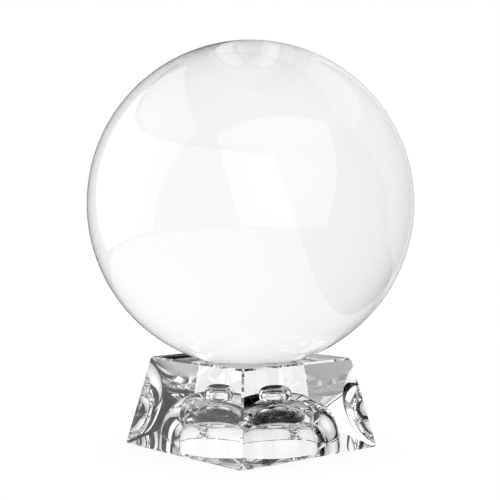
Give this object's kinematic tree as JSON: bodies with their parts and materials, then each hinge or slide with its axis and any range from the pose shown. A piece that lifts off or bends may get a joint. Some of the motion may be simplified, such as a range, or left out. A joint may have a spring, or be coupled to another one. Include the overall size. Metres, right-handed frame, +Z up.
{
  "type": "crystal ball on stand",
  "caption": "Solid clear glass sphere resting in the shallow seat of a square, tapered, clear glass stand with a moulded hollow underneath.",
  "frame": {"origin": "centre of the stand's square base, on the surface that it stands on", "axes": "+Z up through the middle of the stand and the ball; X and Y square to the stand's sides"},
  "size_m": [0.11, 0.11, 0.1368],
  "materials": {
    "ball_crystal": "optically clear solid crystal, polished all over",
    "stand_crystal": "clear pressed crystal, flat polished faces, narrow ground edges, fire-polished moulded hollow"
  },
  "bodies": {
    "stand": {"crystal_stand": "stand_crystal"},
    "ball": {"crystal_ball": "ball_crystal"}
  },
  "joints": [
    {"name": "ball_lift", "type": "slide", "parent": "stand", "child": "ball", "axis": [0, 0, 1], "range_m": [0, 0.06]}
  ]
}
